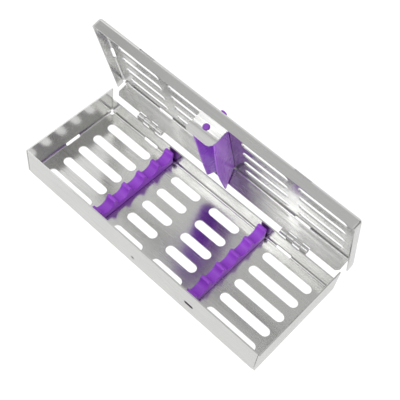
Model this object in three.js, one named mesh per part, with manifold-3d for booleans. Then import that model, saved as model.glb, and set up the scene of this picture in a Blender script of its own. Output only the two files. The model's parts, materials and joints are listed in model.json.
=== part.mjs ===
// A steel cassette that holds dental instruments through washing and sterilising.
// A folded tray and a hinged lid, both slotted, with silicone racks, a hold-down strip and a latch tongue.
// Millimetres, +Z up, +X along the long side. The origin is the centre of the tray's underside,
// the latch is at the front, -Y, and the hinges are at the back, +Y. The lid stands open.
import * as THREE from 'three';
import { mergeVertices } from 'three/addons/utils/BufferGeometryUtils.js';
import Module from 'manifold-3d';

const wasm = await Module();
wasm.setup();

// Sheet steel, shared by the tray and the lid
const sheet = 0.8;
const bend = 2;                  // outer radius of every fold
const cornerRelief = 3;          // diameter of the round hole where two folds of the tray meet
const cornerSeam = 0.3;          // gap between two walls of the tray at a corner
const overrun = 1;               // how far a cutter passes the faces that it cuts
const seat = 0.2;                // gap under a piece that rests on another
const slip = 0.25;               // gap all round a pin in its bore and a stud in its hole

// Tray
const trayLength = 180;
const trayDepth = 69;
const trayWall = 21.6;           // front and side walls, from the underside
const rearWall = 12.1;

// Slots that drain the floor and the lid
const slotWidth = 6.2;
const rowCount = 5;
const frontRowInset = 9.46;      // from the tray's front face to the middle of the first row
const rearRowInset = 10.42;
const floorRib = 4.4;            // half the plain strip between the two inner columns
const rackBandInside = 10.45;    // plain strip on each side of a rack's middle, toward the middle of the tray
const rackBandOutside = 9.45;
const floorEndInset = 7.9;       // from the tray's end to the slots
const lidBand = 11.2;            // half the plain strip down the middle of the lid
const lidRib = 6.8;              // between the two columns on each side of the lid
const lidEndInset = 8;           // from the lid's end to the slots

// Short slots on the folds, which let water out of the corners
const drainLength = 11.5;
const drainWidth = 2;
const drainInset = 35.75;        // from the tray's end to the middle of a slot on a long fold

// Hinges: curled knuckles of the sheet, two of the tray and two of the lid on each pin
const hingeInset = 32.65;        // from the tray's end to the middle of a pin
const hingeHeight = 15;          // from the underside to the pin
const knuckleCount = 4;
const knuckleLength = 4.7;
const knuckleGap = 0.3;
const boreRadius = 0.95;
const pinChamfer = 0.2;
const pinProud = 0.3;            // how far a pin shows at each end
const curlTurn = THREE.MathUtils.degToRad(300);
const lidNotch = 0.9;            // how far the lid is cut back above a tray knuckle
const trayNotch = 0.5;           // how far the rear wall is cut back below a lid knuckle

// Lid, measured shut
const closedHeight = 27;         // from the tray's underside to the lid's outer face
const lidClearance = 0.5;        // between the lid's end walls and the tray's side walls, which they cover
const lipOverlap = 1.3;          // how far the lip and the end walls reach down over the tray's walls
const lipClearance = 0.8;
const lidCorner = 2.2;           // radius of the lid's front corners, seen from above
const hingeWallTab = 1.2;        // from the pin to the edge of the lid's hinge wall
const hingeWallInset = 2.3;      // from the tray's end
const hingeWallChamfer = 1.9;
const openAngle = THREE.MathUtils.degToRad(73.5);

// Latch tongue, a spring strip of the lid's own sheet
const tongueWidth = 18;
const tongueFlat = 8.3;          // from the lip's edge to the flare
const tongueFlare = 5.2;
const flareAngle = THREE.MathUtils.degToRad(20);
const flareRound = 1.5;
const tongueCorner = 2.8;
const tongueFillet = 0.8;
const buttonDrop = 5.4;          // from the lip's edge to the button
const buttonOffset = -0.7;
const buttonRadius = 2;
const buttonDome = 1.3;
const buttonNeck = 1.2;
const buttonFlange = 0.35;

// Small features of the front wall
const dimpleRadius = 1;
const dimpleDepth = 0.3;
const dimpleOffset = -2;
const dimpleHeight = 7.1;
const slitLength = 5.3;
const slitWidth = 1.2;
const slitOffset = 41;
const slitHeight = 9.8;

// Racks of silicone, which hold the instruments apart
const rackInset = 52.65;         // from the tray's end to the middle of a rack
const rackWidth = 6.6;
const rackGap = 0.3;             // between a rack's front end and the tray's front wall
const peakCount = 6;
const frontPeakInset = 6;        // from the tray's front face to the first peak
const rearPeakInset = 3;
const peakHalf = 1.3;
const peakRise = 0.9;
const rackPeak = 9.8;            // above the floor
const rackValley = 4.8;
const rackBevel = 0.5;
const rackCorner = 1.6;          // radius of a rack's four upright corners

// Studs of the racks and of the strip, pulled through holes in the sheet
const studNeck = 1.2;
const studHead = 2;
const studHeadHeight = 1.6;
const studChamfer = 0.4;

// Hold-down strip, two silicone fins in a V under the lid
const stripFoot = 5;
const stripWeb = 2.2;            // silicone between the lid and the bottom of the V
const stripSpread = 7.7;         // from the middle to a fin's tip
const stripHeight = 17.5;
const stripTip = 1.5;            // thickness of a fin at its tip
const stripValley = 0.7;
const stripTipRound = 0.4;
const stripRearInset = 2;        // from the inside of the lid's hinge wall
const stripFrontInset = 2.4;     // from the inside of the lip
const stripStudInset = 2.2;
const stripStudOffset = -1.2;
// Place along the strip and height of each fin there, as shares of its length and of stripHeight
const leftFinShares = [[0, 0.81], [0.38, 0.875], [0.74, 0.905], [1, 0.95]];
const rightFinShares = [[0, 0.8], [0.38, 0.94], [0.74, 0.9], [1, 0.83]];

// Smoothness: each arc of a shape takes twice its number of steps
const slotSteps = 5;
const bendSteps = 2;
const curlSteps = 10;
const scallopSteps = 4;
const roundSteps = 16;
const stripSteps = 8;
const domeSteps = 5;

// Sizes that follow
const halfLength = trayLength / 2;
const halfDepth = trayDepth / 2;
const drainOffset = halfLength - drainInset;
const hingeOffset = halfLength - hingeInset;
const rackOffset = halfLength - rackInset;
const innerBend = bend - sheet;
const knuckleRadius = boreRadius + sheet;
const knucklePitch = knuckleLength + knuckleGap;
const rowPitch = (trayDepth - frontRowInset - rearRowInset) / (rowCount - 1);
const rackPitch = (trayDepth - frontPeakInset - rearPeakInset) / (peakCount - 1);
const firstPeak = -halfDepth + frontPeakInset;
const lastPeak = halfDepth - rearPeakInset;
const axisY = halfDepth + boreRadius;
const lidTop = closedHeight - hingeHeight;
const lidRear = -boreRadius;
const lipInner = -trayDepth - boreRadius - lipClearance;
const lipOuter = lipInner - sheet;
const lipEdge = trayWall - lipOverlap - hingeHeight;
const lidHalf = halfLength + lidClearance + sheet;
const rackFront = -halfDepth + sheet + rackGap;
const rackRear = lastPeak + peakHalf;

const steel = new THREE.MeshStandardMaterial({ color: '#c9cacb', metalness: 1, roughness: 0.28 });
const silicone = new THREE.MeshStandardMaterial({ color: '#6f2bb0', metalness: 0, roughness: 0.5 });

const axisX = new THREE.Vector3(1, 0, 0);
const axisYUnit = new THREE.Vector3(0, 1, 0);
const axisZ = new THREE.Vector3(0, 0, 1);

// A closed geometry as a solid that can be joined and cut
function solid(geometry) {
  const bare = geometry.index ? geometry.toNonIndexed() : geometry.clone();
  bare.deleteAttribute('normal');
  bare.deleteAttribute('uv');
  const merged = mergeVertices(bare);
  return new wasm.Manifold(new wasm.Mesh({
    numProp: 3,
    vertProperties: Float32Array.from(merged.attributes.position.array),
    triVerts: Uint32Array.from(merged.index.array),
  }));
}

// A solid back as a named mesh
function named(name, body, material) {
  const { vertProperties, triVerts } = body.getMesh();
  const geometry = new THREE.BufferGeometry();
  geometry.setAttribute('position', new THREE.BufferAttribute(vertProperties, 3));
  geometry.setIndex(new THREE.BufferAttribute(triVerts, 1));
  const flat = geometry.toNonIndexed();
  flat.computeVertexNormals();
  const mesh = new THREE.Mesh(flat, material);
  mesh.name = name;
  return mesh;
}

function joined(bodies) {
  return bodies.reduce((whole, body) => whole.add(body));
}

function extruded(shape, depth, steps, bevelSize = 0) {
  return new THREE.ExtrudeGeometry(shape, {
    depth: depth - 2 * bevelSize,
    curveSegments: steps,
    bevelEnabled: bevelSize > 0,
    bevelSize,
    bevelThickness: bevelSize,
    bevelOffset: -bevelSize,
    bevelSegments: 1,
  }).translate(0, 0, bevelSize);
}

// A shape drawn in (y, z), from one x to another
function alongX(shape, from, to, steps, bevelSize = 0) {
  const body = extruded(shape, to - from, steps, bevelSize);
  body.applyMatrix4(new THREE.Matrix4().makeBasis(axisYUnit, axisZ, axisX));
  return solid(body.translate(from, 0, 0));
}

// A shape drawn in (x, z), from one y to another
function alongY(shape, from, to, steps) {
  const body = extruded(shape, to - from, steps);
  body.applyMatrix4(new THREE.Matrix4().makeBasis(axisX, axisZ, axisYUnit.clone().negate()));
  return solid(body.translate(0, to, 0));
}

// A shape drawn in (x, y), from one z to another
function alongZ(shape, from, to, steps) {
  return solid(extruded(shape, to - from, steps).translate(0, 0, from));
}

function block(low, high) {
  const size = high.map((value, i) => value - low[i]);
  const middle = high.map((value, i) => (value + low[i]) / 2);
  return solid(new THREE.BoxGeometry(...size).translate(...middle));
}

function stadium(length, width, upright = false) {
  const radius = width / 2;
  const run = length / 2 - radius;
  const shape = new THREE.Shape();
  if (upright) {
    shape.absarc(0, run, radius, 0, Math.PI, false);
    shape.absarc(0, -run, radius, Math.PI, 2 * Math.PI, false);
  } else {
    shape.absarc(run, 0, radius, -Math.PI / 2, Math.PI / 2, false);
    shape.absarc(-run, 0, radius, Math.PI / 2, Math.PI * 3 / 2, false);
  }
  shape.closePath();
  return shape;
}

// The end view of a sheet with a wall folded from each side: up from the sheet, or down
function foldedSection(left, right, base, leftEnd, rightEnd) {
  const up = Math.sign(leftEnd - base);
  const fold = base + up * bend;
  const quarter = Math.PI / 2;
  const turn = (shape, x, radius, from, to) =>
    shape.absarc(x, fold, radius, up * from, up * to, (to - from) * up < 0);
  const shape = new THREE.Shape();
  shape.moveTo(left, leftEnd);
  shape.lineTo(left, fold);
  turn(shape, left + bend, bend, -2 * quarter, -quarter);
  turn(shape, right - bend, bend, -quarter, 0);
  shape.lineTo(right, rightEnd);
  shape.lineTo(right - sheet, rightEnd);
  shape.lineTo(right - sheet, fold);
  turn(shape, right - bend, innerBend, 0, -quarter);
  turn(shape, left + bend, innerBend, -quarter, -2 * quarter);
  shape.lineTo(left + sheet, leftEnd);
  shape.closePath();
  return shape;
}

// A closed body through rings of points [x, y, z], each ring with as many points as the next
function lofted(rings, capOutline) {
  const count = rings[0].length;
  const corners = [];
  for (let r = 0; r < rings.length - 1; r += 1) {
    for (let i = 0; i < count; i += 1) {
      const j = (i + 1) % count;
      corners.push(rings[r][i], rings[r][j], rings[r + 1][j]);
      corners.push(rings[r][i], rings[r + 1][j], rings[r + 1][i]);
    }
  }
  for (const [a, b, c] of THREE.ShapeUtils.triangulateShape(capOutline, [])) {
    corners.push(rings[0][c], rings[0][b], rings[0][a]);
    corners.push(rings.at(-1)[a], rings.at(-1)[b], rings.at(-1)[c]);
  }
  const geometry = new THREE.BufferGeometry();
  geometry.setAttribute('position', new THREE.Float32BufferAttribute(corners.flat(), 3));
  return solid(geometry);
}

// A block with round upright corners, and a round top edge
function roundedBlock(halfWidth, front, rear, corner, edge, top, bottom) {
  const ring = (inset, z) => {
    const radius = corner - inset;
    const points = [];
    const centres = [[1, rear - corner], [-1, rear - corner], [-1, front + corner], [1, front + corner]];
    centres.forEach(([side, y], quarter) => {
      for (let i = 0; i <= slotSteps; i += 1) {
        const angle = (quarter + i / slotSteps) * Math.PI / 2;
        const x = side * (halfWidth - corner) + radius * Math.cos(angle);
        points.push([x, y + radius * Math.sin(angle), z]);
      }
    });
    return points;
  };
  const rings = [ring(0, bottom)];
  for (let i = 0; i <= 2 * bendSteps; i += 1) {
    const angle = i / bendSteps * Math.PI / 4;
    rings.push(ring(edge * (1 - Math.cos(angle)), top - edge + edge * Math.sin(angle)));
  }
  return lofted(rings, rings[0].map(([x, y]) => new THREE.Vector2(x, y)));
}

function rowPlaces() {
  return Array.from({ length: rowCount }, (_, row) => -halfDepth + frontRowInset + row * rowPitch);
}

// Rows of slots through a flat sheet, on both sides of the middle, between the given ends in x
function slotCutters(columns, shiftY, low, high) {
  return columns.flatMap(([from, to]) => {
    const shape = stadium(to - from, slotWidth);
    return [-1, 1].flatMap((side) => rowPlaces().map((y) =>
      alongZ(shape, low, high, slotSteps).translate([side * (from + to) / 2, y + shiftY, 0])));
  });
}

// A slot cut slantwise through a fold that lies on the side 'outward' of the sheet, below or above it
function drainCutter(alongLength, outward, x, y, z, up) {
  const cutter = alongZ(stadium(drainLength, drainWidth, !alongLength), -bend, bend, bendSteps);
  const tilt = 45 * outward * up;
  const turned = alongLength ? cutter.rotate([tilt, 0, 0]) : cutter.rotate([0, -tilt, 0]);
  return turned.translate([x, y, z]);
}

// The middle of a fold's thickness, measured in from both outer faces
const foldMiddle = bend - (bend - sheet / 2) * Math.SQRT1_2;

// A curled knuckle and the strip that joins it to its wall: the strip hangs below the pin, or stands above it
function knuckle(centre, drop, upward) {
  const shape = new THREE.Shape();
  const end = Math.PI - curlTurn;
  shape.moveTo(-knuckleRadius, -drop * upward);
  shape.absarc(0, 0, knuckleRadius, Math.PI * upward, end * upward, upward > 0);
  shape.absarc(0, 0, boreRadius, end * upward, Math.PI * upward, upward < 0);
  shape.lineTo(-boreRadius, -drop * upward);
  shape.closePath();
  return alongX(shape, centre - knuckleLength / 2, centre + knuckleLength / 2, curlSteps);
}

// The middles of one hinge's knuckles, from its outer end: the tray's are the first and third
function knuckleCentres(side, ofTray) {
  return Array.from({ length: knuckleCount }, (_, i) => i)
    .filter((i) => (i % 2 === 0) === ofTray)
    .map((i) => side * (hingeOffset + ((knuckleCount - 1) / 2 - i) * knucklePitch));
}

function notchCutter(centre, y, low, high) {
  const half = knucklePitch - knuckleLength / 2;
  return block([centre - half, y - overrun, low], [centre + half, y + sheet + overrun, high]);
}

// A stud that hangs from its piece: the neck runs from 'root' through the sheet to 'face',
// and the head is below
function stud(root, face) {
  const neckEnd = face - seat;
  const headEnd = neckEnd - studHeadHeight;
  const outline = [
    [0, headEnd], [studHead - studChamfer, headEnd], [studHead, headEnd + studChamfer],
    [studHead, neckEnd], [studNeck, neckEnd], [studNeck, root], [0, root],
  ].map(([radius, z]) => new THREE.Vector2(radius, z));
  return solid(new THREE.LatheGeometry(outline, roundSteps).rotateX(Math.PI / 2));
}

function studHole(x, y, low, high) {
  const hole = new THREE.CylinderGeometry(studNeck + slip, studNeck + slip, high - low, roundSteps);
  return solid(hole.rotateX(Math.PI / 2).translate(x, y, (low + high) / 2));
}

// A stud under the first, third and fifth valley
function rackStudPlaces() {
  return [0, 2, 4].map((step) => firstPeak + (step + 1 / 2) * rackPitch);
}

function tray() {
  const across = foldedSection(-halfDepth, halfDepth, 0, trayWall, rearWall);
  const lengthwise = foldedSection(-halfLength, halfLength, 0, trayWall, trayWall);
  const wallEnd = halfLength - sheet - cornerSeam;
  const parts = [
    alongX(across, -halfLength + bend, halfLength - bend, bendSteps),
    alongY(lengthwise, -halfDepth + bend, halfDepth - bend, bendSteps),
    block([-wallEnd, -halfDepth, bend], [wallEnd, -halfDepth + sheet, trayWall]),
    block([-wallEnd, halfDepth - sheet, bend], [wallEnd, halfDepth, rearWall]),
  ];
  for (const side of [-1, 1]) {
    const faces = [side * halfLength, side * (halfLength - sheet)].sort((a, b) => a - b);
    parts.push(block([faces[0], -halfDepth, bend], [faces[1], halfDepth, trayWall]));
    for (const centre of knuckleCentres(side, true)) {
      parts.push(knuckle(centre, hingeHeight - rearWall + overrun, 1).translate([0, axisY, hingeHeight]));
    }
  }
  return joined(parts).subtract(joined(trayCutters()));
}

function trayCutters() {
  const cutters = slotCutters([
    [floorRib, rackOffset - rackBandInside],
    [rackOffset + rackBandOutside, halfLength - floorEndInset],
  ], 0, -overrun, sheet + overrun);
  for (const side of [-1, 1]) {
    for (const face of [-1, 1]) {
      const hole = new THREE.CylinderGeometry(cornerRelief / 2, cornerRelief / 2, bend, roundSteps);
      hole.rotateX(Math.PI / 2).translate(side * (halfLength - bend), face * (halfDepth - bend), 0);
      cutters.push(solid(hole));
      const y = face * (halfDepth - foldMiddle);
      cutters.push(drainCutter(true, face, side * drainOffset, y, foldMiddle, 1));
    }
    cutters.push(drainCutter(false, side, side * (halfLength - foldMiddle), 0, foldMiddle, 1));
    for (const y of rackStudPlaces()) {
      cutters.push(studHole(side * rackOffset, y, -overrun, sheet + overrun));
    }
    for (const centre of knuckleCentres(side, false)) {
      cutters.push(notchCutter(centre, halfDepth - sheet, rearWall - trayNotch, rearWall + overrun));
    }
  }
  const dimple = new THREE.SphereGeometry(dimpleRadius, roundSteps, roundSteps / 2);
  dimple.translate(dimpleOffset, -halfDepth - dimpleRadius + dimpleDepth, dimpleHeight);
  cutters.push(solid(dimple));
  const slit = stadium(slitLength, slitWidth);
  const slitCutter = alongY(slit, -halfDepth - overrun, -halfDepth + sheet + overrun, slotSteps);
  cutters.push(slitCutter.translate([slitOffset, 0, slitHeight]));
  return cutters;
}

// The lid's pieces are drawn shut, from the hinge axis

// The plate with its end walls and its lip, drawn round the front corners in one piece
function lidPan() {
  const rear = lidRear + 2 * lidCorner;
  const outer = roundedBlock(lidHalf, lipOuter, rear, lidCorner, bend, lidTop, lipEdge);
  const inner = roundedBlock(lidHalf - sheet, lipInner, rear - sheet, lidCorner - sheet, innerBend,
    lidTop - sheet, lipEdge - overrun);
  const far = lidHalf + overrun;
  const behind = block([-far, lidRear - bend, lipEdge - overrun], [far, rear + overrun, lidTop + overrun]);
  return outer.subtract(inner).subtract(behind);
}

// The hinge wall with its fold, and the end walls beside it
function lidRearParts() {
  const section = foldedSection(lidRear - 2 * bend - sheet, lidRear, lidTop, hingeWallTab, hingeWallTab);
  const far = lidHalf - bend;
  const keep = block([-far, lidRear - bend - sheet, 0], [far, lidRear, lidTop]);
  const parts = [alongX(section, -far, far, bendSteps).intersect(keep)];
  for (const side of [-1, 1]) {
    const faces = [side * lidHalf, side * (lidHalf - sheet)].sort((a, b) => a - b);
    parts.push(block([faces[0], lidRear - bend - sheet, lipEdge], [faces[1], lidRear, lidTop - bend]));
    for (const centre of knuckleCentres(side, false)) {
      parts.push(knuckle(centre, hingeWallTab + overrun, -1));
    }
  }
  return parts;
}

// The hinge wall's ends, set in from the lid's and cut off at a slant
function hingeWallCutters() {
  const from = halfLength - hingeWallInset;
  const shape = new THREE.Shape();
  shape.moveTo(from, lidTop - bend);
  shape.lineTo(from, hingeWallTab + hingeWallChamfer);
  shape.lineTo(from - hingeWallChamfer, hingeWallTab);
  shape.lineTo(from - hingeWallChamfer, 0);
  shape.lineTo(lidHalf - sheet, 0);
  shape.lineTo(lidHalf - sheet, lidTop - bend);
  shape.closePath();
  const right = alongY(shape, lidRear - bend, lidRear + overrun, bendSteps);
  return [right, right.mirror([1, 0, 0])];
}

// The tongue's side view: flat in the lip's plane, then bent outward
function tongueBody() {
  const flatEnd = lipEdge - tongueFlat;
  const reach = [Math.sin(flareAngle), Math.cos(flareAngle)];
  const top = lipEdge + overrun;
  const along = (y, z, distance) => [y - distance * reach[0], z - distance * reach[1]];
  const innerTurn = flatEnd - sheet * Math.tan(flareAngle / 2);
  const outerEnd = along(lipOuter, flatEnd, tongueFlare);
  const foot = outerEnd[1] - sheet * reach[0];
  const side = new THREE.Shape();
  side.moveTo(lipOuter, top);
  side.lineTo(lipOuter, flatEnd + flareRound);
  side.quadraticCurveTo(lipOuter, flatEnd, ...along(lipOuter, flatEnd, flareRound));
  side.lineTo(...outerEnd);
  side.lineTo(outerEnd[0] + sheet * reach[1], foot);
  side.lineTo(...along(lipInner, innerTurn, flareRound));
  side.quadraticCurveTo(lipInner, innerTurn, lipInner, innerTurn + flareRound);
  side.lineTo(lipInner, top);
  side.closePath();

  const half = tongueWidth / 2;
  const wide = half + tongueFillet;
  const front = new THREE.Shape();
  front.moveTo(-wide, top);
  front.lineTo(-wide, lipEdge);
  front.absarc(-wide, lipEdge - tongueFillet, tongueFillet, Math.PI / 2, 0, true);
  front.lineTo(-half, foot + tongueCorner);
  front.absarc(-half + tongueCorner, foot + tongueCorner, tongueCorner, Math.PI, Math.PI * 3 / 2, false);
  front.absarc(half - tongueCorner, foot + tongueCorner, tongueCorner, -Math.PI / 2, 0, false);
  front.lineTo(half, lipEdge - tongueFillet);
  front.absarc(wide, lipEdge - tongueFillet, tongueFillet, Math.PI, Math.PI / 2, true);
  front.lineTo(wide, top);
  front.closePath();

  const outline = alongY(front, outerEnd[0] - overrun, lipInner + overrun, slotSteps);
  const holeRadius = buttonNeck + slip;
  const hole = new THREE.CylinderGeometry(holeRadius, holeRadius, sheet + 2 * overrun, roundSteps);
  hole.translate(buttonOffset, (lipOuter + lipInner) / 2, lipEdge - buttonDrop);
  return alongX(side, -wide, wide, bendSteps).intersect(outline).subtract(solid(hole));
}

function lidCutters() {
  const column = (lidHalf - lidEndInset - lidBand - lidRib) / 2;
  const cutters = slotCutters([
    [lidBand, lidBand + column],
    [lidBand + column + lidRib, lidHalf - lidEndInset],
  ], -axisY, lidTop - sheet - overrun, lidTop + overrun);
  const middle = -axisY;
  const height = lidTop - foldMiddle;
  for (const side of [-1, 1]) {
    cutters.push(drainCutter(true, -1, side * drainOffset, lipOuter + foldMiddle, height, -1));
    cutters.push(drainCutter(true, 1, side * drainOffset, lidRear - foldMiddle, height, -1));
    cutters.push(drainCutter(false, side, side * (lidHalf - foldMiddle), middle, height, -1));
    for (const centre of knuckleCentres(side, true)) {
      cutters.push(notchCutter(centre, lidRear - sheet, -overrun, hingeWallTab + lidNotch));
    }
  }
  for (const y of stripStudPlaces()) {
    cutters.push(studHole(stripStudOffset, y, lidTop - sheet - overrun, lidTop + overrun));
  }
  return cutters;
}

function lid() {
  const rear = joined(lidRearParts()).subtract(joined(hingeWallCutters()));
  return joined([lidPan(), rear, tongueBody()]).subtract(joined(lidCutters()));
}

const stripRear = lidRear - sheet - stripRearInset;
const stripFront = lipInner + stripFrontInset;

function stripStudPlaces() {
  const rear = stripRear - stripStudInset;
  const front = stripFront + stripStudInset;
  return [rear, (rear + front) / 2, front];
}

// The V of the hold-down strip, drawn from the lid's inner face downward, with fins of changing height
function holdDownStrip() {
  const inside = lidTop - sheet;
  const half = stripFoot / 2;
  const curve = (shares) => new THREE.SplineCurve(shares.map((pair) => new THREE.Vector2(...pair)));
  const fin = (height) => [
    [half, seat], [half, seat + stripWeb / 2], [stripSpread, height - stripTipRound],
    [stripSpread - stripTipRound, height], [stripSpread - stripTip + stripTipRound, height],
    [stripSpread - stripTip, height - stripTipRound], [stripValley, seat + stripWeb],
  ];
  const leftCurve = curve(leftFinShares);
  const rightCurve = curve(rightFinShares);
  const rings = [];
  for (let i = 0; i <= stripSteps; i += 1) {
    const leftPoint = leftCurve.getPoint(i / stripSteps);
    const rightPoint = rightCurve.getPoint(i / stripSteps);
    const y = THREE.MathUtils.lerp(stripRear, stripFront, rightPoint.x);
    const left = fin(leftPoint.y * stripHeight).map(([x, drop]) => [-x, drop]);
    const right = fin(rightPoint.y * stripHeight).reverse();
    rings.push([...left, ...right].map(([x, drop]) => [x, y, inside - drop]));
  }
  const body = lofted(rings, rings[0].map(([x, , z]) => new THREE.Vector2(x, z)));
  const upStud = stud(seat + stripWeb / 2 - inside, -lidTop).mirror([0, 0, 1]);
  return joined([body, ...stripStudPlaces().map((y) => upStud.translate([stripStudOffset, y, 0]))]);
}

// A button of silicone, held in the tongue by its neck
function latchButton() {
  const face = sheet / 2 + seat;
  const points = [[0, -face - buttonFlange], [buttonRadius, -face - buttonFlange],
    [buttonRadius, -face], [buttonNeck, -face], [buttonNeck, face], [buttonRadius, face]];
  for (let i = 1; i < domeSteps; i += 1) {
    const angle = i / domeSteps * Math.PI / 2;
    points.push([buttonRadius * Math.cos(angle), face + buttonDome * Math.sin(angle)]);
  }
  points.push([0, face + buttonDome]);
  const outline = points.map(([radius, height]) => new THREE.Vector2(radius, height));
  const body = new THREE.LatheGeometry(outline, roundSteps).rotateX(Math.PI);
  return solid(body.translate(buttonOffset, (lipOuter + lipInner) / 2, lipEdge - buttonDrop));
}

function hingePin(side) {
  const radius = boreRadius - slip;
  const half = (knuckleCount * knucklePitch - knuckleGap) / 2 + pinProud;
  const outline = [[0, -half], [radius - pinChamfer, -half], [radius, -half + pinChamfer],
    [radius, half - pinChamfer], [radius - pinChamfer, half], [0, half]]
    .map(([distance, height]) => new THREE.Vector2(distance, height));
  const body = new THREE.LatheGeometry(outline, roundSteps).rotateZ(Math.PI / 2);
  return solid(body.translate(side * hingeOffset, axisY, hingeHeight));
}

// The side view of a rack: round valleys for the instruments, with narrow round peaks between them.
// The rear end is a peak, and the front end stands in a valley.
function rackSection() {
  const foot = sheet + seat;
  const depth = rackPeak - rackValley - peakRise;
  const turn = sheet + rackValley + depth;      // where a valley's side passes into a peak
  const valleyHalf = rackPitch / 2 - peakHalf;
  const frontValley = firstPeak - rackPitch / 2;
  const cut = 2 * Math.PI - Math.acos((rackFront - frontValley) / valleyHalf);
  const shape = new THREE.Shape();
  const valley = (y, to) => shape.absellipse(y, turn, valleyHalf, depth, 2 * Math.PI, to, true);
  shape.moveTo(rackFront + bend, foot);
  shape.absarc(rackRear - bend, foot + bend, bend, -Math.PI / 2, 0, false);
  for (let i = 0; i < peakCount; i += 1) {
    const peak = lastPeak - i * rackPitch;
    shape.absellipse(peak, turn, peakHalf, peakRise, 0, Math.PI, false);
    valley(peak - rackPitch / 2, i < peakCount - 1 ? Math.PI : cut);
  }
  shape.absarc(rackFront + bend, foot + bend, bend, Math.PI, Math.PI * 3 / 2, false);
  shape.closePath();
  return shape;
}

function instrumentRack(side) {
  const middle = side * rackOffset;
  const from = middle - rackWidth / 2;
  const comb = alongX(rackSection(), from, from + rackWidth, scallopSteps, rackBevel);
  const inset = rackWidth / 2 - rackCorner;
  const plan = new THREE.Shape();
  const corners = [[1, rackRear - rackCorner], [-1, rackRear - rackCorner],
    [-1, rackFront + rackCorner], [1, rackFront + rackCorner]];
  corners.forEach(([turn, y], quarter) => {
    const start = quarter * Math.PI / 2;
    plan.absarc(middle + turn * inset, y, rackCorner, start, start + Math.PI / 2, false);
  });
  plan.closePath();
  const room = alongZ(plan, 0, sheet + rackPeak + overrun, bendSteps);
  const studs = rackStudPlaces().map((y) => stud(sheet + rackValley / 2, 0).translate([middle, y, 0]));
  return joined([comb.intersect(room), ...studs]);
}

const cassette = new THREE.Group();
cassette.add(
  named('base_tray', tray(), steel),
  named('left_hinge_pin', hingePin(-1), steel),
  named('right_hinge_pin', hingePin(1), steel),
  named('left_instrument_rack', instrumentRack(-1), silicone),
  named('right_instrument_rack', instrumentRack(1), silicone),
);

const lidSide = new THREE.Group();
lidSide.position.set(0, axisY, hingeHeight);
lidSide.rotation.x = -openAngle;
lidSide.add(
  named('lid', lid(), steel),
  named('hold_down_strip', holdDownStrip(), silicone),
  named('latch_button', latchButton(), silicone),
);
cassette.add(lidSide);

export default cassette;
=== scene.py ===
"""The looks of a steel cassette for dental instruments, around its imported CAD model.

The CAD frame: +X along the cassette, the latch at the front, -Y, the hinges at the back, and +Z up.
Sizes are millimetres and angles are degrees. Every piece is scaled to metres as it is placed.
Tints are linear red, green and blue."""
import json
import math

import bmesh
import bpy
from mathutils import Matrix, Vector


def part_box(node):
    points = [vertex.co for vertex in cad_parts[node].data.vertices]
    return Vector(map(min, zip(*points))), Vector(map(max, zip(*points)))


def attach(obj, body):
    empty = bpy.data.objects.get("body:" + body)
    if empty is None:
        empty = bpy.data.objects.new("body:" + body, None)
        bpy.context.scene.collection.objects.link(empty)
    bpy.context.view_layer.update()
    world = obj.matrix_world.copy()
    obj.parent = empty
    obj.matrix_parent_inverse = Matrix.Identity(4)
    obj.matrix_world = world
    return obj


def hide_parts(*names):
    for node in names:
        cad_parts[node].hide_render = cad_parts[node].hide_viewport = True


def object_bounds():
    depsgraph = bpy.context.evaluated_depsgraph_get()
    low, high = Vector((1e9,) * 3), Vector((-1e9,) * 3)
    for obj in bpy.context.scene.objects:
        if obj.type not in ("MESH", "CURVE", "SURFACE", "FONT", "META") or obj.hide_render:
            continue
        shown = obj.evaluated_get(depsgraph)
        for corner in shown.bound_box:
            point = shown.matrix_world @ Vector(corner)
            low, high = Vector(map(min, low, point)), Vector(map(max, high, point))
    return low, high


MM = 0.001

# Camera, from the photo's edges, slots and hinges
CAMERA_PLACE = (156.18, -201.2, 422.37)
CAMERA_TURN = (32.97, -4.904, 42.9)
LENS = 75.72
FILM_WIDTH = 36
NEAREST_SEEN = 10
FARTHEST_SEEN = 40000

# Sheet steel: its folds are shaded smooth and its cut edges crisp
SHEET = 0.8
SMOOTH_UP_TO = 32
WELD_WITHIN = 0.001
FLAT_FACE_WEIGHT = 100

# The gap under a piece that rests on another
SEAT = 0.2

# Racks, whose length, width and height are those of their CAD solids
RACK_FOOT_ROUND = 2.0
RACK_PEAKS = 6
RACK_FRONT_PEAK_INSET = 4.9
RACK_PEAK_HALF = 1.3
RACK_PEAK_RISE = 0.9
RACK_VALLEY = 4.8
RACK_EDGE_ROUND = 0.5
RACK_CORNER_ROUND = 1.6
RACK_STUD_VALLEYS = (0, 2, 4)

# Studs of the racks and of the strip
STUD_NECK = 1.2
STUD_HEAD = 2.0
STUD_HEAD_HEIGHT = 1.6
STUD_HEAD_ROUND = 0.5

# Hold-down strip, whose length and spread are those of its CAD solid
STRIP_FOOT_HALF = 2.5
STRIP_WEB = 2.2
STRIP_HEIGHT = 17.5
STRIP_TIP = 1.5
STRIP_TIP_ROUND = 0.45
STRIP_VALLEY = 0.7
STRIP_END_ROUND = 0.35
STRIP_STUD_INSET = 2.2
STRIP_STUD_OFFSET = -1.2
# Place along the strip and each fin's height there, as shares of its length and of STRIP_HEIGHT
LEFT_FIN_SHARES = ((0.0, 0.81), (0.38, 0.875), (0.74, 0.905), (1.0, 0.95))
RIGHT_FIN_SHARES = ((0.0, 0.8), (0.38, 0.94), (0.74, 0.9), (1.0, 0.83))

# Latch button
BUTTON_RADIUS = 2.0
BUTTON_DOME = 1.3
BUTTON_DOME_TURN = 84
BUTTON_NECK = 1.2
BUTTON_FLANGE = 0.35
BUTTON_RIM = 0.35

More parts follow.
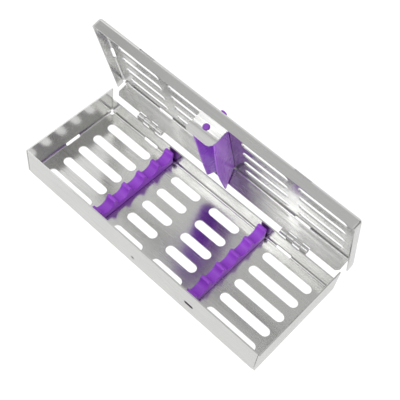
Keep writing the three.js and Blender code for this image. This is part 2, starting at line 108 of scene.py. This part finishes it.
# Smoothness of the silicone: the steps of its arcs, and how far in from an end its sections lie
TURNED_STEPS = 40
STUD_RIM_STEPS = 6
RACK_FOOT_STEPS = 8
RACK_PEAK_STEPS = 14
RACK_VALLEY_STEPS = 26
RACK_EDGE_DEPTHS = (0, 0.02, 0.08, 0.17, 0.3)
RACK_CORNER_DEPTHS = (0.8, 1.15)
STRIP_TIP_STEPS = 5
STRIP_STEPS = 36
STRIP_END_DEPTHS = (0, 0.02, 0.07, 0.17)
BUTTON_DOME_STEPS = 14

# Rolled steel: how much of its tint follows the grain and not the smudges, and how much slower
# the grain changes along X than across
STREAK_SHARE = 0.5
SMUDGE_DETAIL = 3
GRAIN_STRETCH_SHARE = 0.04
GRAIN_DETAIL = 2
GRAIN_RELIEF = 0.02
STEEL_EDGE_TINT = (0.83, 0.83, 0.83)

# Moulded silicone, which lets a little light through
PATCH_WIDTH = 12
PATCH_DETAIL = 3
SKIN_WIDTH = 0.5
SKIN_DETAIL = 2
SKIN_RELIEF = 0.006
SUBSURFACE_SHARE = 0.12
SUBSURFACE_REACH = 2
SUBSURFACE_SPREAD = (1, 0.35, 1.4)
SILICONE_IOR = 1.43

# Noise from the low level to the high one spreads over the whole range of a finish
NOISE_LOW = 0.35
NOISE_HIGH = 0.65

# Latch tongue, from the hinge axis with the lid shut: how far forward it starts, the heights of its
# root and of the end of its flat, and its slope
TONGUE_FROM = 65
TONGUE_ROOT = 5.3
TONGUE_FLAT_END = -3.0
TONGUE_SLOPE = 0.21

# Painted shade on the tray's front wall, in its dimple and on the cut edges of its slit: where it lies,
# and how far from its middles it is full and is gone
DIMPLE_OFFSET = -2.0
DIMPLE_HEIGHT = 7.1
DIMPLE_FULL = 0.5
DIMPLE_GONE = 1.6
# painted shade in the dimple's hollow
DIMPLE_SHADE_TINT = (0.2, 0.2, 0.2)
SLIT_OFFSET = 41.0
SLIT_HEIGHT = 9.8
SLIT_LENGTH = 5.3
SLIT_WIDTH = 1.2
SLIT_FULL = 0.85
SLIT_GONE = 1.6
# painted shade, for the dark inside of the slit
SLIT_SHADE_TINT = (0.035, 0.02, 0.04)

# Table, and its gap to the feet
FLOOR_GAP = 0.02
FLOOR_HALF = 15000
FLOOR_TINT = (0.1, 0.1, 0.1)
FLOOR_ROUGHNESS = 0.8
FLOOR_GLOW = 0.97

# Brightness of the room that the steel mirrors, and of the backdrop that the camera sees
ROOM_LEVEL = 0.95
BACKDROP_LEVEL = 1.05
# Patches of the room: direction, the angles from it at which a patch starts and is full, and brightness
ROOM_PATCHES = (
    ((0.72, 0.5, 0.45), 38, 12, 0.12),
    ((0.0, 0.1, 0.99), 36, 24, 0.66),
    ((-0.56, 0.0, 0.83), 14, 6, 0.55),
    ((-0.54, 0.38, 0.75), 11, 4, 1.5),
    ((-0.55, -0.75, 0.4), 24, 12, 1.3),
    ((0.35, -0.42, 0.84), 26, 12, 2.4),
    ((-0.05, -0.5, 0.86), 5, 2, 1.5),
    ((-0.285, -0.48, 0.83), 8.5, 4, 3.9),
)

# Kinds of a node group's sockets
NUMBER = "NodeSocketFloat"
COLOUR = "NodeSocketColor"
VECTOR = "NodeSocketVector"


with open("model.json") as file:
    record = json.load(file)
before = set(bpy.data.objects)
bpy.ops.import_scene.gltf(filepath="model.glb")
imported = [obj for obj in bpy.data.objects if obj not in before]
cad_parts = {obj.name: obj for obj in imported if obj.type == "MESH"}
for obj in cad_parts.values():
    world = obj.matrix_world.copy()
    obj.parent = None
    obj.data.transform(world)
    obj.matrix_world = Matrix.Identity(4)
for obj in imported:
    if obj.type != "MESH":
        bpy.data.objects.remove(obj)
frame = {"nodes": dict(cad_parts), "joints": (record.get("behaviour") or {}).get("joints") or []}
cad_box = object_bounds()
scene = bpy.context.scene

# The hinge axis in metres, and the lid's angle at rest from shut in radians
lid_hinge = frame["joints"][0]
HINGE = Vector(lid_hinge["pos_m"])
OPEN_ANGLE = math.radians(-lid_hinge["range_deg"][0])


def shut_lid_to_rest():
    """From millimetres in the hinge's frame, with the lid shut, to metres with the lid at rest."""
    return Matrix.Translation(HINGE) @ Matrix.Rotation(-OPEN_ANGLE, 4, "X") @ Matrix.Scale(MM, 4)


def tray_box(node):
    """The lowest and highest corners of a CAD node of the tray."""
    return [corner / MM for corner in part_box(node)]


def lid_box(node):
    """The lowest and highest corners of a CAD node of the lid, from the hinge axis with the lid shut."""
    to_shut = shut_lid_to_rest().inverted()
    points = [to_shut @ vertex.co for vertex in frame["nodes"][node].data.vertices]
    return [Vector([pick(point[i] for point in points) for i in range(3)]) for pick in (min, max)]


# Shapes

def arc(centre, radii, start, stop, steps):
    """Points on an ellipse, both ends included."""
    points = []
    for i in range(steps + 1):
        angle = math.radians(start + (stop - start) * i / steps)
        points.append((centre[0] + radii[0] * math.cos(angle), centre[1] + radii[1] * math.sin(angle)))
    return points


def inset(outline, distance):
    """A closed outline, drawn anticlockwise, moved inward by a distance."""
    drawn_in = []
    for i, (a, b) in enumerate(outline):
        before = Vector((a, b)) - Vector(outline[i - 1])
        after = Vector(outline[(i + 1) % len(outline)]) - Vector((a, b))
        along = (before.normalized() + after.normalized()).normalized()
        drawn_in.append((a - along.y * distance, b + along.x * distance))
    return drawn_in


def rounding(distance, radius):
    """How far a round edge has drawn in, at a distance from the face that it starts on."""
    if distance >= radius:
        return 0.0
    return radius - math.sqrt(radius * radius - (radius - distance) ** 2)


def turned(profile):
    """Rings of a turned form about an upright axis, from its profile of radius and height."""
    last = 360 - 360 / TURNED_STEPS
    rings = []
    for radius, height in profile:
        ring = arc((0, 0), (radius, radius), 0, last, TURNED_STEPS - 1)
        rings.append([Vector((x, y, height)) for x, y in ring])
    return rings


def moved(rings, place):
    return [[place @ Vector(point) for point in ring] for ring in rings]


def silicone_piece(name, skins, place, body, node, material):
    """One piece of closed skins, each through its rings of points, which stands for a CAD node."""
    shape = bmesh.new()
    for rings in skins:
        rows = [[shape.verts.new(point) for point in ring] for ring in rings]
        for a, b in zip(rows, rows[1:]):
            for i in range(len(a)):
                j = (i + 1) % len(a)
                shape.faces.new((a[i], a[j], b[j], b[i]))
        shape.faces.new(list(reversed(rows[0])))
        shape.faces.new(rows[-1])
    shape.transform(place)
    bmesh.ops.recalc_face_normals(shape, faces=shape.faces)
    mesh = bpy.data.meshes.new(name)
    shape.to_mesh(mesh)
    shape.free()
    piece = bpy.data.objects.new(name, mesh)
    scene.collection.objects.link(piece)
    shade(piece, material)
    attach(piece, body)
    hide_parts(node)
    return piece


def shade(piece, material):
    """Gives a piece its finish, smooth over its curves and crisp at its edges."""
    mesh = piece.data
    mesh.polygons.foreach_set("use_smooth", [True] * len(mesh.polygons))
    mesh.materials.clear()
    mesh.materials.append(material)
    split = piece.modifiers.new("crisp edges", "EDGE_SPLIT")
    split.split_angle = math.radians(SMOOTH_UP_TO)


def stud_profile(neck_from, sheet_face):
    """A stud that hangs from its piece: a neck through the sheet, and a head with a round rim."""
    head_from = sheet_face - SEAT
    head_to = head_from - STUD_HEAD_HEIGHT
    middle = (STUD_HEAD - STUD_HEAD_ROUND, head_to + STUD_HEAD_ROUND)
    rim = arc(middle, (STUD_HEAD_ROUND, STUD_HEAD_ROUND), 0, -90, STUD_RIM_STEPS)
    return [(STUD_NECK, neck_from), (STUD_NECK, head_from), (STUD_HEAD, head_from), *rim]


def rack_peaks(low, high):
    """The middles of a rack's peaks, from its front end."""
    first = low.y + RACK_FRONT_PEAK_INSET
    pitch = (high.y - RACK_PEAK_HALF - first) / (RACK_PEAKS - 1)
    return [first + i * pitch for i in range(RACK_PEAKS)]


def rack_outline(low, high):
    """The side view of a rack: round peaks and valleys over a flat foot."""
    peaks = rack_peaks(low, high)
    half_pitch = (peaks[1] - peaks[0]) / 2
    valley_half = half_pitch - RACK_PEAK_HALF
    turn = high.z - RACK_PEAK_RISE
    depth = turn - SHEET - RACK_VALLEY
    foot = (RACK_FOOT_ROUND, RACK_FOOT_ROUND)
    foot_turn = SHEET + SEAT + RACK_FOOT_ROUND
    outline = arc((high.y - RACK_FOOT_ROUND, foot_turn), foot, -90, 0, RACK_FOOT_STEPS)
    for i in reversed(range(RACK_PEAKS)):
        valley = peaks[i] - half_pitch
        front_end = math.degrees(math.acos((low.y - valley) / valley_half)) if i == 0 else 180
        outline += arc((peaks[i], turn), (RACK_PEAK_HALF, RACK_PEAK_RISE), 0, 180, RACK_PEAK_STEPS)[:-1]
        outline += arc((valley, turn), (valley_half, depth), 360, 360 - front_end, RACK_VALLEY_STEPS)
        if i > 0:
            outline.pop()
    outline += arc((low.y + RACK_FOOT_ROUND, foot_turn), foot, 180, 270, RACK_FOOT_STEPS)
    return outline


def rack(node):
    """The skins of a comb with round edges, and of its three studs through the tray's floor."""
    low, high = tray_box(node)
    outline = rack_outline(low, high)
    depths = [*RACK_EDGE_DEPTHS, RACK_EDGE_ROUND, *RACK_CORNER_DEPTHS, RACK_CORNER_ROUND]
    stations = [(low.x + depth, depth) for depth in depths]
    stations += [(high.x - depth, depth) for depth in reversed(depths)]
    rings = []
    for x, depth in stations:
        end = rounding(depth, RACK_CORNER_ROUND)
        ring = inset(outline, rounding(depth, RACK_EDGE_ROUND))
        rings.append([(x, min(max(y, low.y + end), high.y - end), z) for y, z in ring])
    skins = [rings]
    peaks = rack_peaks(low, high)
    stud = turned(stud_profile(SHEET + RACK_VALLEY / 2, 0))
    for valley in RACK_STUD_VALLEYS:
        y = (peaks[valley] + peaks[valley + 1]) / 2
        skins.append(moved(stud, Matrix.Translation(((low.x + high.x) / 2, y, 0))))
    return skins


def fin_height(place, shares):
    """A fin's height at a share of the strip's length, by a smooth curve through its points."""
    for i in range(len(shares) - 1):
        (a, low), (b, high) = shares[i], shares[i + 1]
        if place <= b:
            before = shares[i - 1][1] if i > 0 else 2 * low - high
            after = shares[i + 2][1] if i + 2 < len(shares) else 2 * high - low
            t = (place - a) / (b - a)
            slopes = (high - before) * t + (2 * before - 5 * low + 4 * high - after) * t ** 2
            bend = (3 * low - before - 3 * high + after) * t ** 3
            return (low + (slopes + bend) / 2) * STRIP_HEIGHT
    return shares[-1][1] * STRIP_HEIGHT


def fin_outline(height, spread):
    """Half the strip's end view: from its foot on the plate, round the fin's tip, to the valley."""
    rim = (STRIP_TIP_ROUND, STRIP_TIP_ROUND)
    tip = height - STRIP_TIP_ROUND
    root = SEAT + STRIP_WEB
    outline = [(STRIP_FOOT_HALF, SEAT), (STRIP_FOOT_HALF, SEAT + STRIP_WEB / 2)]
    outline += arc((spread - STRIP_TIP_ROUND, tip), rim, 0, 90, STRIP_TIP_STEPS)
    outline += arc((spread - STRIP_TIP + STRIP_TIP_ROUND, tip), rim, 90, 180, STRIP_TIP_STEPS)
    return outline + [(STRIP_VALLEY, root + STRIP_VALLEY / 2), (STRIP_VALLEY / 2, root)]


def strip():
    """The skins of the hold-down strip and of its three studs through the lid."""
    low, high = lid_box("hold_down_strip")
    plate_outside = lid_box("lid")[1].z
    plate_inside = plate_outside - SHEET
    length = high.y - low.y
    run = length - 2 * STRIP_END_ROUND
    middle = [STRIP_END_ROUND + run * i / STRIP_STEPS for i in range(STRIP_STEPS + 1)]
    front_end = [length - depth for depth in reversed(STRIP_END_DEPTHS)]
    rings = []
    for distance in [*STRIP_END_DEPTHS, *middle, *front_end]:
        place = distance / length
        left = [(-x, drop) for x, drop in fin_outline(fin_height(place, LEFT_FIN_SHARES), high.x)]
        right = fin_outline(fin_height(place, RIGHT_FIN_SHARES), high.x)
        outline = [(x, plate_inside - drop) for x, drop in left + list(reversed(right))]
        ring = inset(outline, rounding(min(distance, length - distance), STRIP_END_ROUND))
        rings.append([(x, high.y - distance, z) for x, z in ring])
    skins = [rings]
    rear = high.y - STRIP_STUD_INSET
    front = low.y + STRIP_STUD_INSET
    stud = turned(stud_profile(SEAT + STRIP_WEB / 2 - plate_inside, -plate_outside))
    for y in (rear, (rear + front) / 2, front):
        upward = Matrix.Translation((STRIP_STUD_OFFSET, y, 0)) @ Matrix.Scale(-1, 4, (0, 0, 1))
        skins.append(moved(stud, upward))
    return skins


def button():
    """The skin of the latch button: a flange, a neck in the tongue's hole, and a domed face."""
    low, high = lid_box("latch_button")
    face = SHEET / 2 + SEAT
    back = -face - BUTTON_FLANGE
    profile = [(BUTTON_RADIUS - BUTTON_RIM, back), (BUTTON_RADIUS, back), (BUTTON_RADIUS, -face),
               (BUTTON_NECK, -face), (BUTTON_NECK, face), (BUTTON_RADIUS, face)]
    dome = (BUTTON_RADIUS, BUTTON_DOME)
    profile += arc((0, face), dome, 0, BUTTON_DOME_TURN, BUTTON_DOME_STEPS)[1:]
    middle = Vector(((low.x + high.x) / 2, high.y + back, (low.z + high.z) / 2))
    outward = Matrix.Translation(middle) @ Matrix.Rotation(math.radians(90), 4, "X")
    return [moved(turned(profile), outward)]


# Materials

class Nodes:
    """A node tree, with short calls for the nodes that the finishes and the room use."""

    def __init__(self, tree):
        self.tree = tree

    def feed(self, target, value):
        """Gives an input another node's output, or a constant."""
        if isinstance(value, bpy.types.NodeSocket):
            self.tree.links.new(value, target)
        else:
            target.default_value = value

    def add(self, kind, inputs=None, **settings):
        """A new node, with its inputs given by name or by number."""
        node = self.tree.nodes.new(kind)
        for name, value in settings.items():
            setattr(node, name, value)
        for key, value in (inputs or {}).items():
            self.feed(node.inputs[key], value)
        return node

    def object_place(self):
        return self.add("ShaderNodeTexCoord").outputs["Object"]

    def number(self, operation, *values):
        """The result of one step of arithmetic."""
        return self.add("ShaderNodeMath", dict(enumerate(values)), operation=operation).outputs[0]

    def vector(self, operation, *values):
        """The vector that one step of vector arithmetic gives."""
        node = self.add("ShaderNodeVectorMath", dict(enumerate(values)), operation=operation)
        return node.outputs["Vector"]

    def measure(self, operation, *values):
        """The number that one step of vector arithmetic gives."""
        node = self.add("ShaderNodeVectorMath", dict(enumerate(values)), operation=operation)
        return node.outputs["Value"]

    def mix(self, data_type, factor, a, b):
        inputs = {"Factor": factor, "A": a, "B": b}
        return self.add("ShaderNodeMix", inputs, data_type=data_type).outputs["Result"]

    def spread(self, value, low, high, to_low=0, to_high=1, **settings):
        """A value from one range spread over another, and held at its ends."""
        inputs = {"Value": value, "From Min": low, "From Max": high, "To Min": to_low, "To Max": to_high}
        return self.add("ShaderNodeMapRange", inputs, **settings).outputs["Result"]

    def bump(self, height, distance):
        """A relief whose height of one stands a distance in metres above its height of zero."""
        return self.add("ShaderNodeBump", {"Strength": 1, "Distance": distance, "Height": height})

    def noise(self, vector, width, detail):
        """Noise over a vector, with features of a width in metres."""
        inputs = {"Vector": vector, "Scale": self.number("DIVIDE", 1, width), "Detail": detail}
        return self.add("ShaderNodeTexNoise", inputs).outputs["Fac"]


def group(name, inputs, outputs):
    """A new node group: its nodes, what it is given, and what it puts out."""
    tree = bpy.data.node_groups.new(name, "ShaderNodeTree")
    for direction, sockets in (("INPUT", inputs), ("OUTPUT", outputs)):
        for socket, kind in sockets.items():
            tree.interface.new_socket(name=socket, in_out=direction, socket_type=kind)
    nodes = Nodes(tree)
    return nodes, nodes.add("NodeGroupInput").outputs, nodes.add("NodeGroupOutput").inputs


def finish_group(name, widths):
    """A group for one kind of finish, with the widths of its features among its inputs."""
    inputs = dict.fromkeys(widths, NUMBER)
    inputs.update({"Light Colour": COLOUR, "Dark Colour": COLOUR, "Smooth": NUMBER, "Rough": NUMBER})
    return group(name, inputs, {"Colour": COLOUR, "Roughness": NUMBER, "Height": NUMBER})


def tint_and_roughen(nodes, given, out, noise):
    """Puts out the light and smooth finish where the noise is low, and the dark and rough one elsewhere."""
    share = nodes.spread(noise, NOISE_LOW, NOISE_HIGH)
    colour = nodes.mix("RGBA", share, given["Light Colour"], given["Dark Colour"])
    roughness = nodes.spread(share, 0, 1, given["Smooth"], given["Rough"])
    nodes.feed(out["Colour"], colour)
    nodes.feed(out["Roughness"], roughness)


def rolled_sheet_group():
    """Rolled steel: a tint and a roughness in soft smudges, and fine grain that runs along X."""
    nodes, given, out = finish_group("rolled_sheet", ("Grain Width", "Smudge Width"))
    place = nodes.object_place()
    stretch = nodes.add("ShaderNodeMapping", {"Vector": place, "Scale": (GRAIN_STRETCH_SHARE, 1, 1)})
    grain = nodes.noise(stretch.outputs["Vector"], given["Grain Width"], GRAIN_DETAIL)
    smudge = nodes.noise(place, given["Smudge Width"], SMUDGE_DETAIL)
    tint_and_roughen(nodes, given, out, nodes.mix("FLOAT", STREAK_SHARE, smudge, grain))
    nodes.feed(out["Height"], grain)
    return nodes.tree


def moulded_skin_group():
    """Moulded silicone: a tint and a roughness in soft patches, and a fine orange-peel height."""
    nodes, given, out = finish_group("moulded_skin", ("Patch Width", "Skin Width"))
    place = nodes.object_place()
    tint_and_roughen(nodes, given, out, nodes.noise(place, given["Patch Width"], PATCH_DETAIL))
    nodes.feed(out["Height"], nodes.noise(place, given["Skin Width"], SKIN_DETAIL))
    return nodes.tree


def painted_shade_group():
    """Painted shade over a colour, round a run along X: full up to one distance from it, gone at another."""
    inputs = {"Colour": COLOUR, "Shade Colour": COLOUR, "Place": VECTOR, "Half Run": NUMBER,
              "Full Within": NUMBER, "Gone Beyond": NUMBER}
    nodes, given, out = group("painted_shade_spot", inputs, {"Colour": COLOUR})
    offset = nodes.vector("SUBTRACT", nodes.object_place(), given["Place"])
    parts = nodes.add("ShaderNodeSeparateXYZ", {"Vector": offset}).outputs
    past_run = nodes.number("SUBTRACT", nodes.number("ABSOLUTE", parts["X"]), given["Half Run"])
    past_end = nodes.number("MAXIMUM", past_run, 0)
    from_run = nodes.add("ShaderNodeCombineXYZ", {"X": past_end, "Y": parts["Y"], "Z": parts["Z"]})
    distance = nodes.measure("LENGTH", from_run.outputs["Vector"])
    share = nodes.spread(distance, given["Full Within"], given["Gone Beyond"], 1, 0)
    nodes.feed(out["Colour"], nodes.mix("RGBA", share, given["Colour"], given["Shade Colour"]))
    return nodes.tree


rolled_sheet = rolled_sheet_group()
moulded_skin = moulded_skin_group()
painted_shade_spot = painted_shade_group()


def shader_of(material):
    return material.node_tree.nodes["Principled BSDF"]


def finish(name, effect_group, light, dark, smooth, rough, widths, relief):
    """A material whose tint, roughness and relief come from one of the groups."""
    material = bpy.data.materials.new(name)
    material.use_nodes = True
    nodes = Nodes(material.node_tree)
    inputs = {key: width * MM for key, width in widths.items()}
    inputs.update({"Light Colour": (*light, 1), "Dark Colour": (*dark, 1), "Smooth": smooth, "Rough": rough})
    effect = nodes.add("ShaderNodeGroup", inputs, node_tree=effect_group)
    bump = nodes.bump(effect.outputs["Height"], relief * MM)
    bump.name = "relief"
    shader = shader_of(material)
    nodes.feed(shader.inputs["Base Color"], effect.outputs["Colour"])
    nodes.feed(shader.inputs["Roughness"], effect.outputs["Roughness"])
    nodes.feed(shader.inputs["Normal"], bump.outputs["Normal"])
    return material


def steel(name, light, dark, smooth, rough, grain_width, smudge_width):
    """Rolled stainless steel, from its lightest and smoothest spots to its darkest and roughest."""
    widths = {"Grain Width": grain_width, "Smudge Width": smudge_width}
    material = finish(name, rolled_sheet, light, dark, smooth, rough, widths, GRAIN_RELIEF)
    shader = shader_of(material)
    shader.inputs["Metallic"].default_value = 1
    shader.inputs["Specular Tint"].default_value = (*STEEL_EDGE_TINT, 1)
    return material


def silicone(name, light, dark, smooth, rough):
    """Moulded silicone, from its lightest and smoothest spots to its darkest and roughest."""
    widths = {"Patch Width": PATCH_WIDTH, "Skin Width": SKIN_WIDTH}
    material = finish(name, moulded_skin, light, dark, smooth, rough, widths, SKIN_RELIEF)
    shader = shader_of(material)
    shader.inputs["Subsurface Weight"].default_value = SUBSURFACE_SHARE
    shader.inputs["Subsurface Radius"].default_value = SUBSURFACE_SPREAD
    shader.inputs["Subsurface Scale"].default_value = SUBSURFACE_REACH * MM
    shader.inputs["IOR"].default_value = SILICONE_IOR
    return material


def lean_tongue(material):
    """Leans the latch tongue inward a little below its root, as relief on the lid's steel."""
    nodes = Nodes(material.node_tree)
    from_hinge = nodes.vector("SUBTRACT", nodes.object_place(), HINGE)
    lid_axes = Matrix.Rotation(-OPEN_ANGLE, 3, "X")
    upward = nodes.measure("DOT_PRODUCT", from_hinge, lid_axes @ Vector((0, 0, 1)))
    forward = nodes.measure("DOT_PRODUCT", from_hinge, lid_axes @ Vector((0, -1, 0)))
    lowest = (TONGUE_FLAT_END - TONGUE_ROOT) * TONGUE_SLOPE
    fall = nodes.spread(upward, TONGUE_FLAT_END * MM, TONGUE_ROOT * MM, lowest * MM, 0)
    at_front = nodes.number("GREATER_THAN", forward, TONGUE_FROM * MM)
    height = nodes.number("MULTIPLY", fall, at_front)
    slant = nodes.bump(height, 1)
    nodes.feed(material.node_tree.nodes["relief"].inputs["Normal"], slant.outputs["Normal"])


def lay_painted_shade(material, place, half_run, full, gone, tint):
    """Lays painted shade over a material's colour."""
    nodes = Nodes(material.node_tree)
    base = shader_of(material).inputs["Base Color"]
    inputs = {"Colour": base.links[0].from_socket, "Shade Colour": (*tint, 1), "Place": Vector(place) * MM,
              "Half Run": half_run * MM, "Full Within": full * MM, "Gone Beyond": gone * MM}
    spot = nodes.add("ShaderNodeGroup", inputs, node_tree=painted_shade_spot)
    nodes.feed(base, spot.outputs["Colour"])


def paint_front_wall_shade(material):
    """Paints shade into the tray's dimple, from its outer face, and its slit, from the middle of the sheet.
    """
    front = tray_box("base_tray")[0].y
    dimple = (DIMPLE_OFFSET, front, DIMPLE_HEIGHT)
    slit = (SLIT_OFFSET, front + SHEET / 2, SLIT_HEIGHT)
    lay_painted_shade(material, dimple, 0, DIMPLE_FULL, DIMPLE_GONE, DIMPLE_SHADE_TINT)
    lay_painted_shade(material, slit, (SLIT_LENGTH - SLIT_WIDTH) / 2, SLIT_FULL, SLIT_GONE, SLIT_SHADE_TINT)


tray_steel = steel("tray sheet", light=(0.65, 0.65, 0.635), dark=(0.61, 0.61, 0.6),
                   smooth=0.12, rough=0.28, grain_width=0.9, smudge_width=30)
# painted shade in the front wall's dimple and slit
paint_front_wall_shade(tray_steel)
lid_steel = steel("lid sheet", light=(0.65, 0.65, 0.64), dark=(0.61, 0.61, 0.6),
                  smooth=0.12, rough=0.28, grain_width=0.9, smudge_width=30)
lean_tongue(lid_steel)
pin_steel = steel("pin wire", light=(0.6, 0.6, 0.59), dark=(0.52, 0.52, 0.51),
                  smooth=0.2, rough=0.3, grain_width=0.4, smudge_width=8)
rack_silicone = silicone("rack silicone", light=(0.37, 0.077, 0.7), dark=(0.32, 0.064, 0.62),
                         smooth=0.3, rough=0.42)
strip_silicone = silicone("strip silicone", light=(0.36, 0.08, 0.68), dark=(0.3, 0.062, 0.59),
                          smooth=0.22, rough=0.34)
button_silicone = silicone("button silicone", light=(0.26, 0.06, 0.5), dark=(0.22, 0.05, 0.43),
                           smooth=0.3, rough=0.45)


# Pieces

def dress_steel(node, material):
    """A CAD node of sheet or wire in its own finish, welded, with its flat faces shaded flat."""
    piece = frame["nodes"][node]
    custom = piece.data.attributes.get("custom_normal")
    if custom is not None:
        piece.data.attributes.remove(custom)
    weld = piece.modifiers.new("weld", "WELD")
    weld.merge_threshold = WELD_WITHIN * MM
    shade(piece, material)
    flat = piece.modifiers.new("flat faces", "WEIGHTED_NORMAL")
    flat.weight = FLAT_FACE_WEIGHT


dress_steel("base_tray", tray_steel)
dress_steel("lid", lid_steel)
for side in ("left", "right"):
    dress_steel(f"{side}_hinge_pin", pin_steel)
    silicone_piece(f"{side}_silicone_rack", rack(f"{side}_instrument_rack"), Matrix.Scale(MM, 4), "base",
                   f"{side}_instrument_rack", rack_silicone)
silicone_piece("silicone_hold_down_strip", strip(), shut_lid_to_rest(), "lid",
               "hold_down_strip", strip_silicone)
silicone_piece("silicone_latch_button", button(), shut_lid_to_rest(), "lid",
               "latch_button", button_silicone)


# Camera, table and light

def camera():
    data = bpy.data.cameras.new("camera")
    data.lens = LENS
    data.sensor_width = FILM_WIDTH
    data.clip_start = NEAREST_SEEN * MM
    data.clip_end = FARTHEST_SEEN * MM
    view = bpy.data.objects.new("camera", data)
    view.location = Vector(CAMERA_PLACE) * MM
    view.rotation_euler = [math.radians(angle) for angle in CAMERA_TURN]
    scene.collection.objects.link(view)
    scene.camera = view


def floor():
    """A white table just under the feet, which glows so that it stays white beside the tray."""
    half = FLOOR_HALF * MM
    height = cad_box[0][2] - FLOOR_GAP * MM
    mesh = bpy.data.meshes.new("floor")
    corners = [(-half, -half, height), (half, -half, height), (half, half, height), (-half, half, height)]
    mesh.from_pydata(corners, [], [(0, 1, 2, 3)])
    material = bpy.data.materials.new("white table")
    material.use_nodes = True
    shader = shader_of(material)
    shader.inputs["Base Color"].default_value = (*FLOOR_TINT, 1)
    shader.inputs["Roughness"].default_value = FLOOR_ROUGHNESS
    shader.inputs["Emission Color"].default_value = (1, 1, 1, 1)
    shader.inputs["Emission Strength"].default_value = FLOOR_GLOW
    mesh.materials.append(material)
    table = bpy.data.objects.new("floor", mesh)
    scene.collection.objects.link(table)


def patch_group():
    """How far a direction lies inside a round patch of the room: 1 in its middle, 0 outside."""
    inputs = {"Direction": VECTOR, "Aim": VECTOR, "Outer Angle": NUMBER, "Inner Angle": NUMBER}
    nodes, given, out = group("soft_patch", inputs, {"Share": NUMBER})
    aim = nodes.vector("NORMALIZE", given["Aim"])
    cosine = nodes.measure("DOT_PRODUCT", given["Direction"], aim)
    angle = nodes.number("ARCCOSINE", cosine)
    share = nodes.spread(angle, given["Outer Angle"], given["Inner Angle"], interpolation_type="SMOOTHSTEP")
    nodes.feed(out["Share"], share)
    return nodes.tree


def surroundings():
    """A room with soft bright and dark patches for the steel to mirror, behind a plain white backdrop."""
    world = bpy.data.worlds.new("studio")
    world.use_nodes = True
    nodes = Nodes(world.node_tree)
    direction = nodes.add("ShaderNodeTexCoord").outputs["Generated"]
    patch = patch_group()
    level = ROOM_LEVEL
    for aim, outer, inner, brightness in ROOM_PATCHES:
        inputs = {"Direction": direction, "Aim": aim, "Outer Angle": math.radians(outer),
                  "Inner Angle": math.radians(inner)}
        inside = nodes.add("ShaderNodeGroup", inputs, node_tree=patch)
        level = nodes.mix("FLOAT", inside.outputs["Share"], level, brightness)
    seen_by_camera = nodes.add("ShaderNodeLightPath").outputs["Is Camera Ray"]
    background = world.node_tree.nodes["Background"]
    nodes.feed(background.inputs["Strength"], nodes.mix("FLOAT", seen_by_camera, level, BACKDROP_LEVEL))
    nodes.feed(background.inputs["Color"], (1, 1, 1, 1))
    scene.world = world


camera()
floor()
surroundings()
scene.view_settings.view_transform = "Standard"
